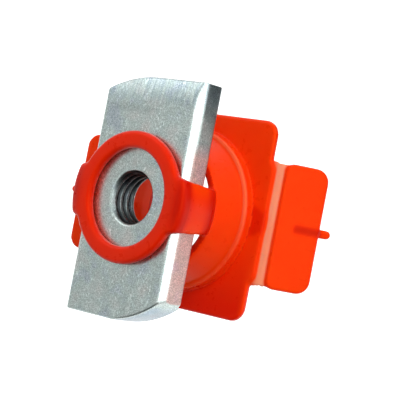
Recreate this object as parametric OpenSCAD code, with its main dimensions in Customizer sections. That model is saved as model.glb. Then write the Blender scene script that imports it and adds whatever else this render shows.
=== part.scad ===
// Strut channel nut: a threaded steel plate carried in a one-piece moulded holder.
// The thread axis is Z. The plate's bearing face, which grips the channel's lips, lies at Z = 0,
// the ring of the holder is above it and the flange with its two wings is below it.

/* [Nut plate] */
// Length of the plate, across the channel's slot
nut_len = 35.5; // [32:0.5:37]
// Width of the plate, small enough to pass the slot
nut_w = 19; // [18:0.25:20]
// Thickness of the plate
nut_t = 5; // [4.5:0.25:6.5]
// Chamfer along the four long edges
nut_edge = 1; // [0.5:0.05:1.2]
// Radius of the two opposite corners that let the plate turn inside the channel
swing_r = 17.75; // [17.5:0.25:19]
// Sideways shift of the arc on the lower right corner, which takes more of that corner away
low_corner_shift = 1.9; // [0:0.1:3.5]
// Shift of that corner's rolled front edge towards the plate's middle
corner_roll = 0.5; // [0.3:0.1:1.6]
// Depth of that roll below the front face
corner_roll_depth = 1.6; // [0.5:0.1:2]
// Length of the rolled-over stretch at the upper end of the front face
end_roll = 3.6; // [1.5:0.1:4]
// Depth of the rolled-over stretch at the very end
end_roll_depth = 0.65; // [0.4:0.05:1]
// Angle at which the front face breaks off into the rolled-over stretch
end_roll_break = 5; // [1:1:5]
// Turn of the break across the plate, which makes the rolled-over stretch longer on the left
end_roll_skew = 5; // [0:1:8]
// How far the front edge of the lower end lies back from its rear edge
low_end_slant = 0.2; // [0.1:0.05:0.8]

/* [Thread] */
// Wall radius of the threaded hole, at the crests of the thread
thread_r = 3.4; // [2.5:0.05:4.2]
// Radius of the countersink at each mouth
thread_mouth_r = 4.05; // [4:0.05:5]

/* [Toothed grooves] */
// Distance from the thread axis to the middle of a groove
groove_y = 12.25; // [11.5:0.25:13]
// Width of a groove, for one lip of the channel
groove_w = 3.5; // [2.5:0.1:4]
// Depth of a groove down to the roots of its teeth
groove_depth = 0.9; // [0.5:0.05:1]
// Height of the teeth
tooth_h = 0.45; // [0.2:0.05:0.5]
// Number of teeth across the width of the plate
teeth = 10; // [6:1:14]

/* [Ring and straps] */
// Inner radius of the ring
ring_inner_r = 7.1; // [6:0.1:7.5]
// Outer radius of the ring
ring_outer_r = 9.65; // [9:0.05:10]
// Thickness of the ring
ring_t = 1.5; // [1:0.1:2]
// Width of a strap along the plate's side
strap_w = 7.5; // [6:0.25:9]
// How much narrower a strap is at its foot, on each side
strap_taper = 0.4; // [0.1:0.05:0.8]
// Thickness of a strap at its middle, where its round outer face stands farthest out
strap_t = 1.35; // [1:0.05:1.6]
// Extra half width of the shoulder where a strap leaves the ring
strap_flare = 0.5; // [0.4:0.1:1.2]
// Rounding of the strap's outer front corner
strap_edge = 0.6; // [0.2:0.05:0.8]
// Step from the ring's face down to the straps
strap_drop = 0.12; // [0.08:0.02:0.4]
// Depth below the bearing face at which the straps start to draw in towards the collar
strap_draw = 0.2; // [0:0.05:0.5]
// How far the foot of a strap is rooted in the collar's lip
strap_root = 0.2; // [0.1:0.05:0.3]
// Gap between the plate and the straps
nut_clearance = 0.05; // [0.02:0.01:0.15]

/* [Collar and disc] */
// Inner radius of the collar's mouth
mouth_r = 8.35; // [8.1:0.05:8.6]
// Wall of the collar at its mouth
mouth_wall = 1.15; // [0.9:0.05:1.25]
// Distance of the mouth behind the bearing face
mouth_drop = 2; // [1.5:0.1:3]
// Radius of the bolt passage through disc and flange
bore_r = 7.9; // [7.5:0.1:8.8]
// Outer radius of the collar where it meets the disc
collar_base_r = 11.4; // [11:0.1:11.6]
// Radius of the disc
disc_r = 12.1; // [11.9:0.1:12.6]
// Thickness of the disc
disc_t = 1.6; // [1:0.1:2]
// Distance from the bearing face to the disc
lip_gap = 6.1; // [5:0.1:8]

/* [Flange] */
// Thickness of the flange and the wings
flange_t = 1; // [0.8:0.05:1.4]
// Width of the tall plate
tall_w = 27.2; // [26.5:0.1:28]
// Height of the tall plate
tall_h = 29.5; // [27:0.1:31]
// Corner radius of the tall plate
tall_r = 2.2; // [1:0.1:3]
// Width of the wide plate
wide_w = 28.9; // [28.5:0.1:30]
// Height of the wide plate and of the wings
wide_h = 18.3; // [16:0.1:20]
// Corner radius of the wide plate
wide_r = 1.8; // [0.5:0.1:2.5]
// Radius of the round pads on the rear of the flange
pad_r = 2.2; // [1.5:0.1:2.4]
// Distance of a pad's centre from the thread axis
pad_x = 12.25; // [12.2:0.05:12.6]
// Height of the pads
pad_h = 0.5; // [0.3:0.1:2.5]

/* [Wings] */
// Thickness of the thin web that a wing bends on
web_t = 0.35; // [0.25:0.05:0.5]
// Distance of the web's faces from the rear faces and the ends of flange and wing
web_inset = 0.1; // [0.08:0.01:0.15]
// Length of the web between flange and wing
web_len = 1.35; // [1:0.05:2]
// Length of a wing from its web to its outer edge
wing_len = 6.6; // [5:0.1:8]
// Radius of a wing's outer corners
wing_r = 2; // [1:0.1:3]
// Radius of a wing's inner corners, over the web
wing_root_r = 1.2; // [0.5:0.1:1.6]
// How far the right wing is bent to the rear
right_fold = 54; // [20:1:60]
// How far the left wing is bent to the front
left_fold = 9; // [4:1:30]
// Width of the rib on the rear of a wing
rib_w = 1.25; // [0.8:0.05:1.6]
// Height of the rib above the wing
rib_h = 1.1; // [0.6:0.1:2]
// Length of the rib on the wing
rib_len = 4; // [2:0.1:4.5]
// How far the rib stands past the wing's outer edge
rib_reach = 1.9; // [0.5:0.1:2.5]

/* [Hidden] */
$fn = 96;

// Overlap of cutters and of pieces that are one moulding
eps = 0.02;
// Length of web that is rooted in the flange and in the wing
web_root = 0.3;
// Depth by which the web's sheet under a wing lies inside the bent web's faces
sheet_inset = 0.05;
// Depth to which a strap's shoulder is rooted in the ring
shoulder_root = 0.4;
// Height of the upright strip that the slanted lower end keeps at the rear
slant_foot = 0.3;

ring_top = nut_t + ring_t;
strap_top = ring_top - strap_drop;
strap_in = nut_w / 2 + nut_clearance;
strap_out = strap_in + strap_t;
mouth_z = -mouth_drop;
disc_top = -lip_gap;
flange_top = disc_top - disc_t;
flange_bottom = flange_top - flange_t;
mouth_outer_r = mouth_r + mouth_wall;
tooth_pitch = nut_w / teeth;
// Radius on which the upper end of the front face rolls over, and the lean of the roll at its very end
end_lean = 2 * atan(end_roll_depth / end_roll) - end_roll_break;
end_roll_r = end_roll / (sin(end_lean) - sin(end_roll_break));
// Radius of the bend that draws a strap in from its outer face to its foot in the collar's lip
foot_r = mouth_outer_r - strap_root;
draw_in = strap_out - foot_r;
draw_len = mouth_drop - strap_draw;
draw_r = (draw_in * draw_in + draw_len * draw_len) / (2 * draw_in);

// A plate with round corners, standing on Z = 0
module rounded_plate(w, h, r, t) {
    linear_extrude(t)
        rounded_outline(w, h, r);
}

module rounded_outline(w, h, r) {
    square([w - 2 * r, h], center = true);
    square([w, h - 2 * r], center = true);
    for (sx = [-1, 1], sy = [-1, 1])
        translate([sx * (w / 2 - r), sy * (h / 2 - r)])
            circle(r);
}

// Outline of the nut plate: the upper left corner follows an arc round the thread axis,
// the lower right corner the same arc shifted to the left
module nut_outline() {
    intersection() {
        square([nut_w, nut_len], center = true);
        union() {
            circle(swing_r);
            square([nut_w, nut_len]);
            translate([-nut_w, -nut_len])
                square([2 * nut_w, nut_len]);
        }
        union() {
            translate([-low_corner_shift, 0])
                circle(swing_r);
            translate([-nut_w, 0])
                square([2 * nut_w, nut_len]);
            translate([-nut_w - low_corner_shift, -nut_len])
                square([nut_w, nut_len]);
        }
    }
}

// Cross-section of the plate, X across and Z as the second coordinate, grown by a clearance
module nut_section(grow) {
    half = nut_w / 2 + grow;
    low = -grow;
    high = nut_t + grow;
    polygon([
        [-half, low + nut_edge], [-half + nut_edge, low],
        [half - nut_edge, low], [half, low + nut_edge],
        [half, high - nut_edge], [half - nut_edge, high],
        [-half + nut_edge, high], [-half, high - nut_edge]
    ]);
}

// A section in X and Z drawn out along Y, about the middle
module along_y(length) {
    translate([0, length / 2, 0])
        rotate([90, 0, 0])
            linear_extrude(length)
                children();
}

// Cutter for the rolled front edge of the lower right corner,
// which grows from the middle of the end towards the side
module corner_roll_cutter() {
    reach = 2 * nut_len;
    spread = corner_roll / 2;
    translate([-low_corner_shift - corner_roll, 0, nut_t - corner_roll_depth])
        difference() {
            translate([0, -reach, 0])
                cube([reach, reach, corner_roll_depth + eps]);
            translate([0, 0, -eps])
                cylinder(
                    r1 = swing_r + spread * (1 + eps / corner_roll_depth),
                    r2 = swing_r - spread * 2 * eps / corner_roll_depth,
                    h = corner_roll_depth + 3 * eps
                );
        }
}

// Cutter for the rolled-over upper end of the front face
module end_roll_cutter() {
    translate([0, nut_len / 2 - end_roll, nut_t])
        rotate([0, 0, end_roll_skew])
            difference() {
                translate([-nut_w, 0, -nut_t / 2])
                    cube([2 * nut_w, 2 * end_roll, nut_t]);
                translate([-nut_w - eps, -end_roll_r * sin(end_roll_break), -end_roll_r * cos(end_roll_break)])
                    rotate([0, 90, 0])
                        cylinder(r = end_roll_r, h = 2 * nut_w + 2 * eps, $fn = 180);
            }
}

// Cutter for the lower end, which leans back from its rear edge to the front face
module low_end_cutter() {
    lean = low_end_slant / (nut_t - slant_foot);
    reach = low_end_slant;
    translate([-nut_w, -nut_len / 2, 0])
        rotate([90, 0, 90])
            linear_extrude(2 * nut_w)
                polygon([
                    [-reach, slant_foot - reach / lean],
                    [low_end_slant + reach, nut_t + reach / lean],
                    [-reach, nut_t + reach / lean]
                ]);
}

// One groove with its row of teeth, cut across the width of the bearing face
module toothed_groove() {
    along_y(groove_w)
        polygon(concat(
            [[nut_w / 2 + eps, -eps], [-nut_w / 2 - eps, -eps], [-nut_w / 2 - eps, groove_depth]],
            [for (i = [0 : teeth - 1], tip = [0, 1])
                [-nut_w / 2 + (i + (tip == 0 ? 0 : 0.5)) * tooth_pitch,
                 groove_depth - (tip == 0 ? 0 : tooth_h)]],
            [[nut_w / 2, groove_depth], [nut_w / 2 + eps, groove_depth]]
        ));
}

module threaded_hole() {
    sink = thread_mouth_r - thread_r;
    translate([0, 0, -eps])
        cylinder(r = thread_r, h = nut_t + 2 * eps);
    translate([0, 0, -eps])
        cylinder(r1 = thread_mouth_r + eps, r2 = thread_r, h = sink + eps);
    translate([0, 0, nut_t - sink])
        cylinder(r1 = thread_r, r2 = thread_mouth_r + eps, h = sink + eps);
}

module nut_plate() {
    color([0.62, 0.66, 0.65])
        difference() {
            intersection() {
                linear_extrude(nut_t)
                    nut_outline();
                along_y(nut_len + 2 * eps)
                    nut_section(0);
            }
            corner_roll_cutter();
            end_roll_cutter();
            low_end_cutter();
            for (side = [-1, 1])
                translate([0, side * groove_y, 0])
                    toothed_groove();
            threaded_hole();
        }
}

// Ring on the front face
module ring() {
    translate([0, 0, nut_t])
        difference() {
            cylinder(r = ring_outer_r, h = ring_t);
            translate([0, 0, -eps])
                cylinder(r = ring_inner_r, h = ring_t + 2 * eps);
        }
}

// Mirrors a right-hand piece to the side asked for
module on_side(side) {
    mirror([side < 0 ? 1 : 0, 0, 0])
        children();
}

// Plan of a shoulder: wide on the ring, as wide as the strap at the strap's edge
module shoulder_outline() {
    root_y = strap_w / 2 + strap_flare;
    root_r = ring_outer_r - shoulder_root;
    root_x = sqrt(root_r * root_r - root_y * root_y);
    edge_x = sqrt(strap_out * strap_out - strap_w * strap_w / 4);
    polygon([
        [root_x, -root_y], [edge_x, -strap_w / 2], [strap_out, -strap_w / 2],
        [strap_out, strap_w / 2], [edge_x, strap_w / 2], [root_x, root_y]
    ]);
}

// Outline of a strap seen from the side, narrower behind the plate's middle
module strap_outline() {
    foot_w = strap_w - 2 * strap_taper;
    foot_z = mouth_z - mouth_wall;
    polygon([
        [-foot_w / 2, foot_z], [foot_w / 2, foot_z], [foot_w / 2, 0], [strap_w / 2, nut_t / 2],
        [strap_w / 2, ring_top], [-strap_w / 2, ring_top], [-strap_w / 2, nut_t / 2], [-foot_w / 2, 0]
    ]);
}

// Round body from which both straps are cut: it draws in behind the plate and has a rounded front edge
module strap_body() {
    rotate_extrude() {
        translate([0, -strap_draw])
            square([strap_out, strap_top - strap_edge + strap_draw]);
        translate([strap_out - strap_edge, strap_top - strap_edge])
            circle(strap_edge);
        translate([0, strap_top - strap_edge])
            square([strap_out - strap_edge, strap_edge]);
        intersection() {
            translate([strap_out - draw_r, -strap_draw])
                circle(draw_r);
            translate([0, mouth_z])
                square([strap_out, draw_len]);
        }
        translate([0, mouth_z - strap_root])
            square([foot_r, strap_root + eps]);
    }
}

// Right-hand strap: from the ring down the plate's side and under its chamfered rear edge to the collar
module strap() {
    difference() {
        intersection() {
            strap_body();
            union() {
                translate([ring_inner_r, 0, 0])
                    rotate([90, 0, 90])
                        linear_extrude(strap_out)
                            strap_outline();
                translate([0, 0, nut_t])
                    linear_extrude(ring_t)
                        shoulder_outline();
            }
        }
        along_y(2 * strap_w)
            nut_section(nut_clearance);
        translate([0, 0, nut_t - nut_edge])
            cylinder(r = ring_inner_r, h = ring_t + nut_edge + eps);
        collar_bore();
    }
}

// Bolt passage: a straight bore through disc and flange, then a taper to the radius of the collar's mouth
module collar_bore() {
    translate([0, 0, flange_bottom - eps])
        cylinder(r = bore_r, h = disc_top - flange_bottom + eps);
    translate([0, 0, disc_top])
        cylinder(r1 = bore_r, r2 = mouth_r, h = mouth_z - disc_top);
    translate([0, 0, mouth_z])
        cylinder(r = mouth_r, h = mouth_drop - nut_clearance);
}

module collar_and_disc() {
    translate([0, 0, disc_top])
        cylinder(r1 = collar_base_r, r2 = mouth_outer_r, h = mouth_z - disc_top);
    translate([0, 0, flange_top - eps])
        cylinder(r = disc_r, h = disc_t + eps);
}

module flange() {
    translate([0, 0, flange_bottom]) {
        rounded_plate(tall_w, tall_h, tall_r, flange_t);
        rounded_plate(wide_w, wide_h, wide_r, flange_t);
        for (side = [-1, 1])
            translate([side * pad_x, 0, -pad_h])
                cylinder(r = pad_r, h = pad_h + eps);
    }
}

// One wing in the right-hand position. A fold above zero bends it to the rear, below zero to the front.
module wing(fold) {
    bend = abs(fold);
    turn = fold > 0 ? 1 : -1;
    // Radius of the web's middle line, so that the bent web keeps its length
    bend_r = web_len * 180 / (PI * bend);
    web_mid = flange_bottom + web_inset + web_t / 2;
    web_h = wide_h - 2 * web_inset;
    root_turn = web_root * 180 / (PI * bend_r);
    // Thicker root under the wide plate's edge, from which the thin web bends away to carry the wing
    translate([wide_w / 2 - 2 * wide_r, -wide_h / 2, flange_bottom])
        cube([2 * wide_r, wide_h, web_t + 2 * web_inset]);
    translate([wide_w / 2, 0, web_mid - turn * bend_r]) {
        rotate([90, 0, 0])
            rotate([0, 0, (turn > 0 ? 90 - bend : -90) - root_turn])
                translate([0, 0, -web_h / 2])
                    rotate_extrude(angle = bend + 2 * root_turn)
                        translate([bend_r - web_t / 2, 0])
                            square([web_t, web_h]);
        rotate([0, fold, 0])
            translate([0, 0, turn * bend_r - web_t / 2 - web_inset])
                wing_plate();
    }
}

// Outline of a wing, from its inner edge on X = 0
module wing_outline() {
    translate([wing_root_r, -wide_h / 2])
        square([wing_len - wing_root_r - wing_r, wide_h]);
    translate([0, wing_root_r - wide_h / 2])
        square([wing_root_r + eps, wide_h - 2 * wing_root_r]);
    translate([wing_len - wing_r - eps, wing_r - wide_h / 2])
        square([wing_r + eps, wide_h - 2 * wing_r]);
    for (side = [-1, 1]) {
        translate([wing_root_r, side * (wide_h / 2 - wing_root_r)])
            circle(wing_root_r);
        translate([wing_len - wing_r, side * (wide_h / 2 - wing_r)])
            circle(wing_r);
    }
}

// A wing lying flat with its rear face on Z = 0 and its inner edge on X = 0
module wing_plate() {
    linear_extrude(flange_t)
        wing_outline();
    // The thin sheet of the web runs on under the inner corners
    sheet_w = wide_h - 2 * (web_inset + sheet_inset);
    translate([0, -sheet_w / 2, web_inset + sheet_inset])
        cube([2 * wing_root_r, sheet_w, web_t - 2 * sheet_inset]);
    // Rib on the rear face, rounded at its free end
    translate([0, 0, -rib_h])
        linear_extrude(rib_h + flange_t / 2) {
            translate([wing_len - rib_len, -rib_w / 2])
                square([rib_len + rib_reach - rib_w / 2, rib_w]);
            translate([wing_len + rib_reach - rib_w / 2, 0])
                circle(rib_w / 2);
        }
}

module holder() {
    color([0.96, 0.22, 0.04]) {
        difference() {
            union() {
                collar_and_disc();
                flange();
                wing(right_fold);
                on_side(-1)
                    wing(-left_fold);
            }
            collar_bore();
        }
        ring();
        for (side = [-1, 1])
            on_side(side)
                strap();
    }
}

nut_plate();
holder();
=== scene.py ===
# Strut channel nut: the zinc plated plate and its translucent orange holder, in a white studio.
import math

import bpy
import numpy as np
from mathutils import Matrix, Vector
from mathutils.bvhtree import BVHTree


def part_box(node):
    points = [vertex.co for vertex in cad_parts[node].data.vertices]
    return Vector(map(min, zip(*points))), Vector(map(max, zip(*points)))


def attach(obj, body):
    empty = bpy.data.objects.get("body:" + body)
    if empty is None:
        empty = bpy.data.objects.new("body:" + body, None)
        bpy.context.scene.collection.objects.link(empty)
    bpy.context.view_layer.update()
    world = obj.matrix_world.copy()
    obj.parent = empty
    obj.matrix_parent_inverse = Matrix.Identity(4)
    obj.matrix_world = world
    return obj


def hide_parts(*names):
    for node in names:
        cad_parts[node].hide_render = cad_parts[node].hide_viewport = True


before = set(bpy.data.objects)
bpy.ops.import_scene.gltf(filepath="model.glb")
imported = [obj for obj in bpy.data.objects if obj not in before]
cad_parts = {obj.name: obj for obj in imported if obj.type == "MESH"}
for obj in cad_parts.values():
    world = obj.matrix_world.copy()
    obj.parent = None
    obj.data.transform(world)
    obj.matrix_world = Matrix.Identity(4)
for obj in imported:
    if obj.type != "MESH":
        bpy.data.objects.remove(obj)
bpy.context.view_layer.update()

MM = 0.001
X_AXIS = Vector((1, 0, 0))
Y_AXIS = Vector((0, 1, 0))
WHITE = (1, 1, 1)
BLACK = (0, 0, 0)

# Camera, from the sizes that the photograph shows: place, aim, lean of the plate in the image and lens
CAMERA_AT = Vector((146.34, -2.28, 162.32)) * MM
CAMERA_AIM = Vector((8.49, 1.51, 0.0)) * MM
CAMERA_LEAN = math.radians(10.89)
SENSOR_MM = 36
LENS_MM = 135
NEAREST_SEEN = 10 * MM

# Cell of the grid that a solid is sampled on, and how often its field is smoothed to round the edges
PLATE_CELL = 0.165 * MM
PLATE_SMOOTHING = 1
HOLDER_CELL = 0.202 * MM
HOLDER_SMOOTHING = 1
# The ring and the straps are rounder: how often they are smoothed, from which level on, and how fast it sets in
SOFTER_SMOOTHING = 5
SOFTER_FROM = -3 * MM
SOFTER_OVER = 0.8 * MM
# Grid steps on each side of a surface for which true distances are worked out, the largest distance that the
# field then holds, in cells, and the free steps round the solid
BAND = 3
FARTHEST = BAND + 0.5
MARGIN = BAND + 2
# Shift of the grid, as shares of a cell, that keeps its lines off the solids' flat faces
GRID_SHIFT = np.array([0.31, 0.37, 0.43])
# Step past a face before a line looks for the next one
RAY_STEP = 0.0001 * MM
# Corners of a face of the finished mesh
QUAD = 4

# Thread of the plate's hole: crest radius, depth of the grooves, pitch and the share of the pitch left flat at
# each crest and root
CREST_R = 3.4 * MM
THREAD_DEPTH = 0.6 * MM
THREAD_PITCH = 1.25 * MM
THREAD_FLAT = 0.12
# Steepness of a thread's flank, as the share of a radial step that is a true distance
THREAD_SLOPE = 0.72

# Stretch of the thread along its axis that is painted darker, as painted shade in its grooves, and the soft
# edge of that stretch
THREAD_SPAN = (0.5 * MM, 4.75 * MM)
THREAD_FADE = 0.25 * MM
# How much painted shade lies on the crests, and the shares of the groove's depth at which it is full and fades
# out
CREST_SHADE = 0.4
GROOVE_SHADE_FULL = 0.5
GROOVE_SHADE_END = (1.05, 1.3)
GROOVE_SHADE_TINTS = [(0, WHITE), (0.4, (0.40, 0.40, 0.41)), (1, (0.05, 0.05, 0.055))]

# Zinc plating: spacing of its patterns, and how those that run along the plate are drawn out
SPECKLE_SPACING = 0.15 * MM
PATCH_SPACING = 3.2 * MM
FLECK_SPACING = 0.22 * MM
FLECK_STRETCH = (1, 0.4, 1)
CLUSTER_SPACING = 1.8 * MM
CLUSTER_STRETCH = (1, 0.35, 1)
STREAK_SPACING = 0.30 * MM
STREAK_STRETCH = (1, 0.05, 0.05)
# Colours and tints that follow those patterns, and the stretch over which a cluster of flecks sets in
SPECKLE_COLOURS = [(0.3, (0.33, 0.39, 0.38)), (0.5, (0.54, 0.60, 0.59)), (0.72, (0.84, 0.90, 0.90))]
PATCH_TINTS = [
    (0.30, (0.86, 0.90, 0.97)),
    (0.46, (0.90, 0.97, 0.94)),
    (0.60, (0.97, 0.98, 0.96)),
    (0.74, (1.0, 0.94, 0.91)),
]
FLECK_COLOURS = [(0.56, BLACK), (0.66, (0.30, 0.32, 0.32))]
CLUSTER_RANGE = (0.46, 0.62)
STREAK_TINTS = [(0.35, (0.70, 0.74, 0.80)), (0.65, WHITE)]
# Roughness of the plating, which follows the patches, and its fine relief
PLATING_ROUGHNESS = (0.26, 0.36)
PLATING_RELIEF = 0.02 * MM
PLATING_RELIEF_STRENGTH = 0.4

# Where the plate's rolled end begins, and a darker band below that end
ROLLED_END = (13.6 * MM, 14.8 * MM)
DARK_BAND_ALONG = (12.5 * MM, 13.1 * MM)
DARK_BAND_ACROSS = (-6.5 * MM, 2 * MM)
DARK_BAND_FADE = 0.5 * MM
DARK_BAND_SIDE_FADE = 2 * MM
DARK_BAND_TINT = (0.80, 0.79, 0.80)
# Where its sheared sides begin; they are rougher up to this stretch, by this much, and tinted pink as a painted
# reflection of the orange holder
SIDE_FROM = (9.3 * MM, 9.45 * MM)
SIDE_ROUGH_BELOW = (7 * MM, 9.5 * MM)
SIDE_ROUGHER = 0.2
SIDE_REFLECTION_TINT = (1.0, 0.62, 0.60)
# The cut lower end is painted darker and bluish, as a painted reflection of dimmer surroundings below it: where
# it begins, and its level below the front edge
LOW_END = (-15.2 * MM, -14.2 * MM)
LOW_END_LEVEL = (4.5 * MM, 4.8 * MM)
LOW_END_REFLECTION_TINT = (0.66, 0.70, 0.80)

# Depth of plastic behind a point of the holder's surface: the layer that holds it, the most that is told apart,
# and how often it is evened out
DEPTH_LAYER = "depth"
DEPTH_LIMIT = 4 * MM
DEPTH_SMOOTHING = 4
# Lean of the two middle rays and of the ring of slanted rays that measure it, and how much a slanted one
# counts. The middle rays are turned so that on flat walls they miss the edges of the far face's quads.
MIDDLE_LEAN = math.radians(4)
MIDDLE_TURN = math.radians(23)
SLANT_LEAN = math.radians(55)
SLANT_RAYS = 6
SLANT_SHARE = 2.2
# Levels between which the collar and the disc lie; light gets into them from all round, so they count as thin
COLLAR_LOW = -7.6 * MM
COLLAR_HIGH = -2.2 * MM
COLLAR_DEPTH = 1 * MM
# Colour of the plastic, by the share of DEPTH_LIMIT that lies behind it. This is painted light: pale as if lit
# through where it is thin, with painted edge highlights, and deep red as painted shade where ribs and pads
# behind keep the light off
DEPTH_LIGHT_COLOURS = [
    (0.08, (1.0, 0.33, 0.19)),
    (0.19, (0.98, 0.054, 0.002)),
    (0.27, (0.96, 0.042, 0.001)),
    (0.37, (0.82, 0.020, 0.001)),
    (0.55, (0.62, 0.006, 0.0005)),
]

# Ledge of the disc round the foot of the collar, which carries a painted highlight: radius from which it shows,
# its level and soft edge, and the colour of the painted highlight that it adds
LEDGE_R = (11.5 * MM, 11.7 * MM)
LEDGE_SPAN = (-6.5 * MM, -5.8 * MM)
LEDGE_FADE = 0.2 * MM
LEDGE_HIGHLIGHT_ADDS = (0.02, 0.09, 0.05)
# The painted highlight is strongest on its upper half, which faces the light
LEDGE_UPPER = (-5 * MM, 1 * MM)
LEDGE_LOWER_SHARE = 0.3
# Painted shade: the flange is darker and redder towards its lower edge, where the collar and the plate keep
# light off it: where that sets in, how far to the sides and up to which level
LOW_SHADE_ALONG = (-13 * MM, -3 * MM)
LOW_SHADE_ACROSS = (12.6 * MM, 14 * MM)
LOW_SHADE_LEVEL = (-7.6 * MM, -7.2 * MM)
LOW_SHADE_TINT = (0.92, 0.30, 0.6)
# Uneven shade, uneven gloss and slight ripple of the moulding
SHADE_SPACING = 5 * MM
SHADE_TINTS = [(0.3, (0.94, 0.93, 0.92)), (0.7, WHITE)]
GLOSS_SPACING = 1.2 * MM
PLASTIC_ROUGHNESS = (0.26, 0.36)
RIPPLE_SPACING = 0.9 * MM
RIPPLE_RELIEF = 0.02 * MM
RIPPLE_STRENGTH = 0.25
# Tint of its gloss, and the light that spreads inside it
GLOSS_TINT = (1.0, 0.15, 0.04, 1)
SPREAD_WEIGHT = 0.6
SPREAD_RADIUS = (1.0, 0.25, 0.08)
SPREAD_SCALE = 0.8 * MM

# Stretch of a noise pattern's values that a roughness follows
NOISE_RANGE = (0.3, 0.7)
# Sockets of a Mix node that hold its two colours and its result
MIX_FIRST = 6
MIX_SECOND = 7
MIX_RESULT = 2

# Floor under the part, and its width
FLOOR_Z = -60 * MM
FLOOR_WIDTH = 1800 * MM
# Share of its white that the floor shows by itself; the lamps and the world give the rest, so that shadows
# stay faint
FLOOR_GLOW = 0.7
FLOOR_COLOUR = (0.86, 0.86, 0.86, 1)
# Light of the world on matt surfaces
AMBIENT = 0.5
# Distance of the lamps from the part
LAMP_DISTANCE = 400 * MM


def line_crossings(tree, origin, reach):
    """The X of each face that a line along +X meets."""
    found = []
    while True:
        hit = tree.ray_cast(origin, X_AXIS, reach)[0]
        if hit is None:
            return found
        found.append(hit.x)
        origin = Vector((hit.x + RAY_STEP, origin.y, origin.z))


def inside_grid(tree, axes):
    """Which grid points lie inside the solid, by counting the faces met on the way to them."""
    xs, ys, zs = axes
    inside = np.zeros((len(xs), len(ys), len(zs)), bool)
    reach = xs[-1] - xs[0]
    for j, y in enumerate(ys):
        for k, z in enumerate(zs):
            for x in line_crossings(tree, Vector((xs[0], y, z)), reach):
                inside[:, j, k] ^= xs > x
    return inside


def neighbours(axis):
    """Slices that pair each grid point with the next one along an axis."""
    low = [slice(None)] * 3
    high = [slice(None)] * 3
    low[axis] = slice(None, -1)
    high[axis] = slice(1, None)
    return tuple(low), tuple(high)


def near_surface(inside):
    """Marks the grid points within BAND steps of a change from inside to outside."""
    near = np.zeros_like(inside)
    for axis in range(3):
        low, high = neighbours(axis)
        change = inside[low] != inside[high]
        near[low] |= change
        near[high] |= change
    for _ in range(BAND - 1):
        grown = near.copy()
        for axis in range(3):
            grown |= np.roll(near, 1, axis) | np.roll(near, -1, axis)
        near = grown
    return near


def solid_tree(mesh):
    """Search tree of a closed mesh's triangles."""
    mesh.calc_loop_triangles()
    return BVHTree.FromPolygons(
        [v.co for v in mesh.vertices],
        [t.vertices for t in mesh.loop_triangles],
    )


def sample_solid(node, cell):
    """The grid's axes and the signed distance to a CAD node's surface on it, above zero inside the solid."""
    tree = solid_tree(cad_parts[node].data)
    low, high = (np.array(corner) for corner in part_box(node))
    start = low - (MARGIN + GRID_SHIFT) * cell
    counts = np.ceil((high - low) / cell).astype(int) + 2 * MARGIN + 1
    axes = [start[a] + cell * np.arange(counts[a]) for a in range(3)]
    inside = inside_grid(tree, axes)
    near = near_surface(inside)
    limit = FARTHEST * cell
    field = np.full(inside.shape, limit)
    points = start + cell * np.argwhere(near)
    distances = [tree.find_nearest(p)[3] for p in points.tolist()]
    field[near] = np.minimum(distances, limit)
    return axes, np.where(inside, field, -field)


def smoothed(field, times):
    """The field after a small blur along each axis, which rounds the solid's edges."""
    for _ in range(times):
        for axis in range(3):
            field = (np.roll(field, 1, axis) + 2 * field + np.roll(field, -1, axis)) / 4
    return field


def crossing_quads(field):
    """For each grid edge that the surface crosses: the crossing and the four cells round it, in grid steps."""
    solid = field > 0
    crossings, cells = [], []
    for axis in range(3):
        low, high = neighbours(axis)
        crossed = solid[low] != solid[high]
        here, there = field[low][crossed], field[high][crossed]
        index = np.argwhere(crossed)
        point = index.astype(float)
        point[:, axis] += here / (here - there)
        around = np.repeat(index[:, None, :], QUAD, axis=1)
        second, third = (axis + 1) % 3, (axis + 2) % 3
        around[:, 1:3, second] -= 1
        around[:, 2:4, third] -= 1
        inwards = here < 0
        around[inwards] = around[inwards][:, ::-1]
        crossings.append(point)
        cells.append(around)
    return np.concatenate(crossings), np.concatenate(cells)


def surface_mesh(name, axes, field):
    """A closed mesh of quads where the field is zero."""
    cell = axes[0][1] - axes[0][0]
    start = np.array([a[0] for a in axes])
    crossings, cells = crossing_quads(field)
    points = np.repeat(crossings, QUAD, axis=0)
    cells = cells.reshape(-1, 3)
    keys, corner = np.unique(np.ravel_multi_index(cells.T, field.shape), return_inverse=True)
    corner = corner.ravel()
    shares = np.bincount(corner)
    vertices = np.stack([np.bincount(corner, points[:, a]) / shares for a in range(3)], axis=1)
    faces = len(corner) // QUAD
    mesh = bpy.data.meshes.new(name)
    mesh.vertices.add(len(keys))
    mesh.vertices.foreach_set("co", (start + cell * vertices).astype(np.float32).ravel())
    mesh.loops.add(len(corner))
    mesh.loops.foreach_set("vertex_index", corner.astype(np.int32))
    mesh.polygons.add(faces)
    mesh.polygons.foreach_set("loop_start", np.arange(0, len(corner), QUAD, dtype=np.int32))
    mesh.polygons.foreach_set("use_smooth", np.ones(faces, bool))
    mesh.update(calc_edges=True)
    mesh.validate()
    return mesh


def cut_thread(axes, field):
    """The plate's field with a right-hand thread cut into the wall of its hole."""
    x, y, z = np.meshgrid(*axes, indexing="ij")
    radius = np.hypot(x, y)
    turn = np.arctan2(y, x) / (2 * math.pi)
    phase = (z / THREAD_PITCH - turn) % 1.0
    rise = 1 - np.abs(2 * phase - 1)
    groove = np.clip((rise - THREAD_FLAT) / (1 - 2 * THREAD_FLAT), 0, 1)
    wall = (radius - CREST_R - THREAD_DEPTH * groove) * THREAD_SLOPE
    return np.minimum(field, wall)


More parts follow.
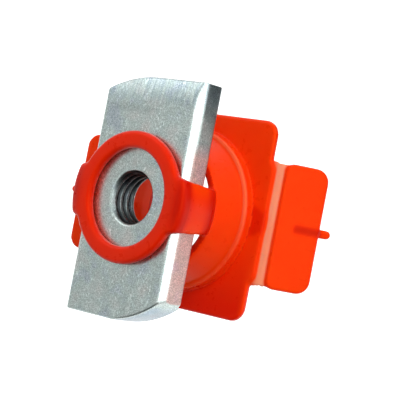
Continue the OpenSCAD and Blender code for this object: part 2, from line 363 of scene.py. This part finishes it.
def plastic_behind(tree, vertex, rays):
    """The least depth of plastic that rays into the solid find behind a point."""
    inwards = -vertex.normal
    across = inwards.orthogonal().normalized()
    other = inwards.cross(across)
    start = vertex.co + inwards * RAY_STEP
    least = DEPTH_LIMIT
    for lean, turn, share in rays:
        sideways = across * math.cos(turn) + other * math.sin(turn)
        found = tree.ray_cast(start, inwards * math.cos(lean) + sideways * math.sin(lean), DEPTH_LIMIT)[3]
        if found is not None:
            least = min(least, share * found)
    return least


def evened_out(mesh, values, times):
    """Values at a mesh's points, drawn towards the mean of their neighbours a number of times."""
    count = len(values)
    ends = np.empty(2 * len(mesh.edges), np.int32)
    mesh.edges.foreach_get("vertices", ends)
    first, second = ends[0::2], ends[1::2]
    shares = np.bincount(ends, minlength=count)
    for _ in range(times):
        near = np.bincount(first, values[second], count) + np.bincount(second, values[first], count)
        values = (values + near / shares) / 2
    return values


def mark_depth(mesh):
    """Stores at each point how much plastic lies behind it, in mm, evened out as light in the plastic does."""
    tree = solid_tree(mesh)
    turns = [2 * math.pi * k / SLANT_RAYS for k in range(SLANT_RAYS)]
    rays = [(MIDDLE_LEAN, MIDDLE_TURN, 1), (MIDDLE_LEAN, MIDDLE_TURN + math.pi, 1)]
    rays += [(SLANT_LEAN, turn, SLANT_SHARE) for turn in turns]
    depth = np.array([plastic_behind(tree, vertex, rays) for vertex in mesh.vertices])
    depth = evened_out(mesh, depth, DEPTH_SMOOTHING)
    place = np.empty(3 * len(depth))
    mesh.vertices.foreach_get("co", place)
    level = place[2::3]
    in_collar = (level > COLLAR_LOW) & (level < COLLAR_HIGH)
    depth[in_collar] = np.minimum(depth[in_collar], COLLAR_DEPTH)
    layer = mesh.attributes.new(DEPTH_LAYER, "FLOAT", "POINT")
    layer.data.foreach_set("value", (depth / MM).astype(np.float32))


def add_piece(name, mesh, node, material):
    """A piece that stands for a CAD node, rides on the one body and has its own material."""
    piece = bpy.data.objects.new(name, mesh)
    bpy.context.scene.collection.objects.link(piece)
    mesh.materials.append(material)
    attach(piece, "root")
    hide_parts(node)


def new_material(name):
    """A material with its node tree and Principled shader."""
    material = bpy.data.materials.new(name)
    material.use_nodes = True
    tree = material.node_tree
    return material, tree, tree.nodes["Principled BSDF"]


def noise(tree, spacing, detail, stretch=(1, 1, 1)):
    """Noise of a given spacing in the part's own space, drawn out along an axis by a stretch below 1."""
    place = tree.nodes.new("ShaderNodeTexCoord")
    scaled = tree.nodes.new("ShaderNodeMapping")
    scaled.inputs["Scale"].default_value = [s / spacing for s in stretch]
    texture = tree.nodes.new("ShaderNodeTexNoise")
    texture.inputs["Scale"].default_value = 1
    texture.inputs["Detail"].default_value = detail
    tree.links.new(place.outputs["Object"], scaled.inputs["Vector"])
    tree.links.new(scaled.outputs["Vector"], texture.inputs["Vector"])
    return texture.outputs["Fac"]


def ramp(tree, value, stops):
    """Colour that follows a value between 0 and 1, from (value, colour) stops."""
    node = tree.nodes.new("ShaderNodeValToRGB")
    elements = node.color_ramp.elements
    while len(elements) < len(stops):
        elements.new(0.5)
    for element, (at, colour) in zip(elements, stops):
        element.position = at
        element.color = (*colour, 1)
    tree.links.new(value, node.inputs["Fac"])
    return node.outputs["Color"]


def spread(tree, value, low, high, to_low, to_high):
    """A value taken from one range to another and kept inside it."""
    node = tree.nodes.new("ShaderNodeMapRange")
    node.inputs["From Min"].default_value = low
    node.inputs["From Max"].default_value = high
    node.inputs["To Min"].default_value = to_low
    node.inputs["To Max"].default_value = to_high
    tree.links.new(value, node.inputs["Value"])
    return node.outputs["Result"]


def mixed(tree, kind, first, second, share=None):
    """Two colours brought together by a blend of the given kind, wholly or as far as a share says."""
    node = tree.nodes.new("ShaderNodeMix")
    node.data_type = "RGBA"
    node.blend_type = kind
    if share is None:
        node.inputs["Factor"].default_value = 1
    else:
        tree.links.new(share, node.inputs["Factor"])
    tree.links.new(first, node.inputs[MIX_FIRST])
    tree.links.new(second, node.inputs[MIX_SECOND])
    return node.outputs[MIX_RESULT]


def tinted_where(tree, colour, share, tint):
    """A colour multiplied by a tint, as far as a share between 0 and 1 says."""
    return mixed(tree, "MULTIPLY", colour, ramp(tree, share, [(0, WHITE), (1, tint)]))


def bump(tree, height, depth, strength):
    """Relief of a height pattern."""
    node = tree.nodes.new("ShaderNodeBump")
    node.inputs["Distance"].default_value = depth
    node.inputs["Strength"].default_value = strength
    tree.links.new(height, node.inputs["Height"])
    return node.outputs["Normal"]


def part_place(tree):
    """X, Y and Z in the part's own space, and the distance from the thread axis."""
    place = tree.nodes.new("ShaderNodeTexCoord")
    parts = tree.nodes.new("ShaderNodeSeparateXYZ")
    flat = tree.nodes.new("ShaderNodeVectorMath")
    flat.operation = "MULTIPLY"
    flat.inputs[1].default_value = (1, 1, 0)
    radius = tree.nodes.new("ShaderNodeVectorMath")
    radius.operation = "LENGTH"
    tree.links.new(place.outputs["Object"], parts.inputs["Vector"])
    tree.links.new(place.outputs["Object"], flat.inputs[0])
    tree.links.new(flat.outputs["Vector"], radius.inputs[0])
    return parts.outputs["X"], parts.outputs["Y"], parts.outputs["Z"], radius.outputs["Value"]


def calculated(tree, operation, first, second=None):
    """One or two values brought together by a calculation."""
    node = tree.nodes.new("ShaderNodeMath")
    node.operation = operation
    tree.links.new(first, node.inputs[0])
    if second is not None:
        tree.links.new(second, node.inputs[1])
    return node.outputs["Value"]


def product(tree, first, *others):
    """Values multiplied together."""
    for other in others:
        first = calculated(tree, "MULTIPLY", first, other)
    return first


def between(tree, value, low, high, fade):
    """1 where a value lies between two limits, with a soft edge."""
    above = spread(tree, value, low - fade, low + fade, 0, 1)
    below = spread(tree, value, high - fade, high + fade, 1, 0)
    return product(tree, above, below)


def thread_shade_mask(tree):
    """Share of painted shade: 1 in the grooves of the thread, less on its crests, 0 outside the hole."""
    _, _, level, radius = part_place(tree)
    fades, ends = (CREST_R + share * THREAD_DEPTH for share in GROOVE_SHADE_END)
    groove = spread(tree, radius, CREST_R, CREST_R + GROOVE_SHADE_FULL * THREAD_DEPTH, CREST_SHADE, 1)
    hole = spread(tree, radius, fades, ends, 1, 0)
    return product(tree, groove, hole, between(tree, level, *THREAD_SPAN, THREAD_FADE))


def zinc_steel():
    """Bright zinc plating: speckle, flecks, patches, a streaky rolled end with a darker band below it, sides
    tinted pink as a painted reflection of the holder, a cut lower end darkened and tinted bluish as a painted
    reflection, and painted shade in the thread.
    """
    material, tree, shader = new_material("zinc_steel")
    across, along, level, _ = part_place(tree)
    speckle = noise(tree, SPECKLE_SPACING, detail=3)
    patches = noise(tree, PATCH_SPACING, detail=2)
    flecks = noise(tree, FLECK_SPACING, detail=2, stretch=FLECK_STRETCH)
    clusters = noise(tree, CLUSTER_SPACING, detail=2, stretch=CLUSTER_STRETCH)
    streaks = noise(tree, STREAK_SPACING, detail=4, stretch=STREAK_STRETCH)

    clustered = spread(tree, clusters, *CLUSTER_RANGE, 0, 1)
    rolled = spread(tree, along, *ROLLED_END, 0, 1)
    dark_band = product(
        tree,
        between(tree, along, *DARK_BAND_ALONG, DARK_BAND_FADE),
        between(tree, across, *DARK_BAND_ACROSS, DARK_BAND_SIDE_FADE),
    )
    sheared = product(
        tree,
        spread(tree, calculated(tree, "ABSOLUTE", across), *SIDE_FROM, 0, 1),
        spread(tree, along, *SIDE_ROUGH_BELOW, 1, 0),
    )
    reflecting_low_end = product(
        tree,
        spread(tree, along, *LOW_END, 1, 0),
        spread(tree, level, *LOW_END_LEVEL, 1, 0),
    )

    colour = mixed(tree, "MULTIPLY", ramp(tree, speckle, SPECKLE_COLOURS), ramp(tree, patches, PATCH_TINTS))
    colour = mixed(tree, "ADD", colour, ramp(tree, flecks, FLECK_COLOURS), clustered)
    colour = mixed(tree, "MULTIPLY", colour, ramp(tree, streaks, STREAK_TINTS), rolled)
    # A darker band below the rolled end
    colour = tinted_where(tree, colour, dark_band, DARK_BAND_TINT)
    # Painted reflection: the sheared sides tinted pink as if mirroring the orange holder
    colour = tinted_where(tree, colour, sheared, SIDE_REFLECTION_TINT)
    # Painted reflection: the cut lower end darker and bluish
    colour = tinted_where(tree, colour, reflecting_low_end, LOW_END_REFLECTION_TINT)
    # Painted shade in the thread's grooves
    colour = mixed(tree, "MULTIPLY", colour, ramp(tree, thread_shade_mask(tree), GROOVE_SHADE_TINTS))
    roughness = calculated(
        tree, "ADD",
        spread(tree, patches, *NOISE_RANGE, *PLATING_ROUGHNESS),
        spread(tree, sheared, 0, 1, 0, SIDE_ROUGHER),
    )
    relief = bump(tree, speckle, PLATING_RELIEF, PLATING_RELIEF_STRENGTH)
    tree.links.new(colour, shader.inputs["Base Color"])
    tree.links.new(roughness, shader.inputs["Roughness"])
    tree.links.new(relief, shader.inputs["Normal"])
    shader.inputs["Metallic"].default_value = 1
    return material


def orange_plastic():
    """Translucent moulding with light painted in: pale as if lit through where it is thin, deep red as painted
    shade where ribs and pads lie behind it, a painted highlight round the collar's foot and painted shade on
    the flange's lower part.
    """
    material, tree, shader = new_material("orange_plastic")
    layer = tree.nodes.new("ShaderNodeAttribute")
    layer.attribute_name = DEPTH_LAYER
    depth = spread(tree, layer.outputs["Fac"], 0, DEPTH_LIMIT / MM, 0, 1)
    across, along, level, radius = part_place(tree)
    ledge_highlight = product(
        tree,
        spread(tree, radius, *LEDGE_R, 0, 1),
        between(tree, level, *LEDGE_SPAN, LEDGE_FADE),
        spread(tree, along, *LEDGE_UPPER, LEDGE_LOWER_SHARE, 1),
    )
    shaded_low_flange = product(
        tree,
        spread(tree, calculated(tree, "ABSOLUTE", across), *LOW_SHADE_ACROSS, 1, 0),
        spread(tree, level, *LOW_SHADE_LEVEL, 1, 0),
        spread(tree, along, *LOW_SHADE_ALONG, 1, 0),
    )
    shade = noise(tree, SHADE_SPACING, detail=2)
    gloss = noise(tree, GLOSS_SPACING, detail=3)
    ripple = noise(tree, RIPPLE_SPACING, detail=2)

    # Painted highlight on the disc round the collar's foot
    painted_highlight = ramp(tree, ledge_highlight, [(0, BLACK), (1, LEDGE_HIGHLIGHT_ADDS)])
    # Painted light: pale as if lit through where the plastic is thin, painted shade where ribs and pads lie
    # behind
    colour = mixed(tree, "ADD", ramp(tree, depth, DEPTH_LIGHT_COLOURS), painted_highlight)
    # Painted shade on the flange's lower part
    colour = tinted_where(tree, colour, shaded_low_flange, LOW_SHADE_TINT)
    colour = mixed(tree, "MULTIPLY", colour, ramp(tree, shade, SHADE_TINTS))
    tree.links.new(colour, shader.inputs["Base Color"])
    tree.links.new(spread(tree, gloss, *NOISE_RANGE, *PLASTIC_ROUGHNESS), shader.inputs["Roughness"])
    tree.links.new(bump(tree, ripple, RIPPLE_RELIEF, RIPPLE_STRENGTH), shader.inputs["Normal"])
    shader.inputs["Specular Tint"].default_value = GLOSS_TINT
    shader.inputs["Subsurface Weight"].default_value = SPREAD_WEIGHT
    shader.inputs["Subsurface Radius"].default_value = SPREAD_RADIUS
    shader.inputs["Subsurface Scale"].default_value = SPREAD_SCALE
    return material


def seen_directly(tree):
    """1 for rays from the camera, from reflections and through clear things, else 0."""
    path = tree.nodes.new("ShaderNodeLightPath")
    direct = calculated(tree, "MAXIMUM", path.outputs["Is Camera Ray"], path.outputs["Is Glossy Ray"])
    return calculated(tree, "MAXIMUM", direct, path.outputs["Is Transmission Ray"])


def floor_white():
    """Matt white that also glows when it is seen directly, so that it reads as a white studio floor."""
    material, tree, shader = new_material("floor_white")
    tree.nodes.remove(shader)
    matt = tree.nodes.new("ShaderNodeBsdfDiffuse")
    matt.inputs["Color"].default_value = FLOOR_COLOUR
    glow = tree.nodes.new("ShaderNodeEmission")
    both = tree.nodes.new("ShaderNodeAddShader")
    tree.links.new(spread(tree, seen_directly(tree), 0, 1, 0, FLOOR_GLOW), glow.inputs["Strength"])
    tree.links.new(matt.outputs["BSDF"], both.inputs[0])
    tree.links.new(glow.outputs["Emission"], both.inputs[1])
    tree.links.new(both.outputs["Shader"], tree.nodes["Material Output"].inputs["Surface"])
    return material


def add_sheet(name, width, height, material):
    """A flat rectangle of the studio, which isn't part of the object."""
    mesh = bpy.data.meshes.new(name)
    corners = [(x * width / 2, y * height / 2, 0) for x, y in ((-1, -1), (1, -1), (1, 1), (-1, 1))]
    mesh.from_pydata(corners, [], [(0, 1, 2, 3)])
    mesh.materials.append(material)
    sheet = bpy.data.objects.new(name, mesh)
    bpy.context.scene.collection.objects.link(sheet)
    return sheet


def face_part(thing, towards, distance):
    """Stands a card or a lamp on the given side of the part, turned to face it."""
    side = Vector(towards).normalized()
    thing.location = side * distance
    thing.rotation_euler = side.to_track_quat("Z", "Y").to_euler()


def add_card(name, towards, distance, width, height, shade):
    """A matt card that faces the part and shows only in reflections and by the light that it keeps off."""
    material, _, shader = new_material(name)
    shader.inputs["Base Color"].default_value = (shade, shade, shade, 1)
    shader.inputs["Roughness"].default_value = 1
    card = add_sheet(name, width, height, material)
    card.visible_camera = False
    face_part(card, towards, distance)


def add_softbox(name, towards, width, height, level):
    """A soft lamp on the given side of the part, whose face is as bright as the level says."""
    data = bpy.data.lights.new(name, "AREA")
    data.shape = "RECTANGLE"
    data.size = width
    data.size_y = height
    data.energy = level * math.pi * width * height
    lamp = bpy.data.objects.new(name, data)
    bpy.context.scene.collection.objects.link(lamp)
    face_part(lamp, towards, LAMP_DISTANCE)


# The plate, with its thread
plate_axes, plate_field = sample_solid("nut_plate", PLATE_CELL)
plate_field = smoothed(cut_thread(plate_axes, plate_field), PLATE_SMOOTHING)
add_piece("plate", surface_mesh("plate", plate_axes, plate_field), "nut_plate", zinc_steel())

# The holder
holder_axes, holder_field = sample_solid("holder", HOLDER_CELL)
softer_share = np.clip((holder_axes[2] - SOFTER_FROM) / SOFTER_OVER, 0, 1)
holder_field = (
    (1 - softer_share) * smoothed(holder_field, HOLDER_SMOOTHING)
    + softer_share * smoothed(holder_field, SOFTER_SMOOTHING)
)
holder_mesh = surface_mesh("carrier", holder_axes, holder_field)
mark_depth(holder_mesh)
add_piece("carrier", holder_mesh, "holder", orange_plastic())

# Floor
floor = add_sheet("floor", FLOOR_WIDTH, FLOOR_WIDTH, floor_white())
floor.location.z = FLOOR_Z

# Lamps: a large one to the right and above, one beside the camera that the plate's bevel mirrors, and one above
add_softbox("key", towards=(0.70, 0.60, 0.42), width=260 * MM, height=260 * MM, level=3.4)
add_softbox("front", towards=(0.80, 0.02, 0.60), width=110 * MM, height=360 * MM, level=3.0)
add_softbox("top", towards=(-0.45, 0.62, 0.64), width=260 * MM, height=120 * MM, level=1.8)

# Cards: a grey one that the plate's front face mirrors, a dark one that its right side mirrors,
# and a dark one that keeps light from below off the lower half
add_card("grey_card", (-0.72, -0.06, 0.70), distance=260 * MM, width=240 * MM, height=240 * MM, shade=0.76)
add_card("dark_card", (0.56, 0.54, -0.64), distance=62 * MM, width=60 * MM, height=40 * MM, shade=0.02)
add_card("low_card", (0.08, -0.84, 0.54), distance=70 * MM, width=84 * MM, height=64 * MM, shade=0.03)

# Camera
forward = (CAMERA_AIM - CAMERA_AT).normalized()
plate_up = (Y_AXIS - Y_AXIS.dot(forward) * forward).normalized()
plate_right = forward.cross(plate_up)
right = math.cos(CAMERA_LEAN) * plate_right + math.sin(CAMERA_LEAN) * plate_up
up = math.cos(CAMERA_LEAN) * plate_up - math.sin(CAMERA_LEAN) * plate_right
camera_data = bpy.data.cameras.new("camera")
camera_data.sensor_width = SENSOR_MM
camera_data.lens = LENS_MM
camera_data.clip_start = NEAREST_SEEN
camera = bpy.data.objects.new("camera", camera_data)
camera.matrix_world = Matrix.Translation(CAMERA_AT) @ Matrix((right, up, -forward)).transposed().to_4x4()
bpy.context.scene.collection.objects.link(camera)
bpy.context.scene.camera = camera

# World: white where it is seen directly, softer as light on matt surfaces
world = bpy.data.worlds.new("studio")
bpy.context.scene.world = world
world.use_nodes = True
background = world.node_tree.nodes["Background"]
background.inputs["Color"].default_value = (1, 1, 1, 1)
world.node_tree.links.new(
    spread(world.node_tree, seen_directly(world.node_tree), 0, 1, AMBIENT, 1),
    background.inputs["Strength"],
)

bpy.context.scene.view_settings.view_transform = "Standard"
